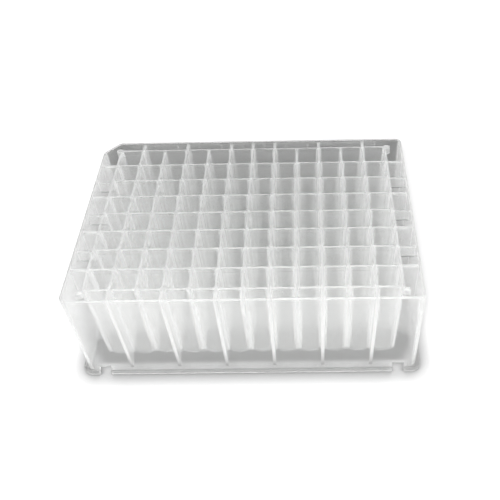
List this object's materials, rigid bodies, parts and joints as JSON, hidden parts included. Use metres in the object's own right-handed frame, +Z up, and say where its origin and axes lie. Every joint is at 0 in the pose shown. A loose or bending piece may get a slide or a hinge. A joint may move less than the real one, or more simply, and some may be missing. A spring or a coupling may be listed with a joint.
{
  "type": "well plate",
  "caption": "Deep-well plate moulded in one piece, with a grid of square, round-bottomed wells inside a skirt with a foot flange and one cut corner.",
  "frame": {"origin": "under the middle of the plate, on the surface that it stands on", "axes": "+X along the long side, +Y towards the side with the cut key corner (which is at -X, +Y), +Z up out of the wells"},
  "size_m": [0.1278, 0.0854, 0.044],
  "materials": {
    "polypropylene": "satin"
  },
  "bodies": {
    "root": {"well_plate": "polypropylene"}
  },
  "joints": []
}
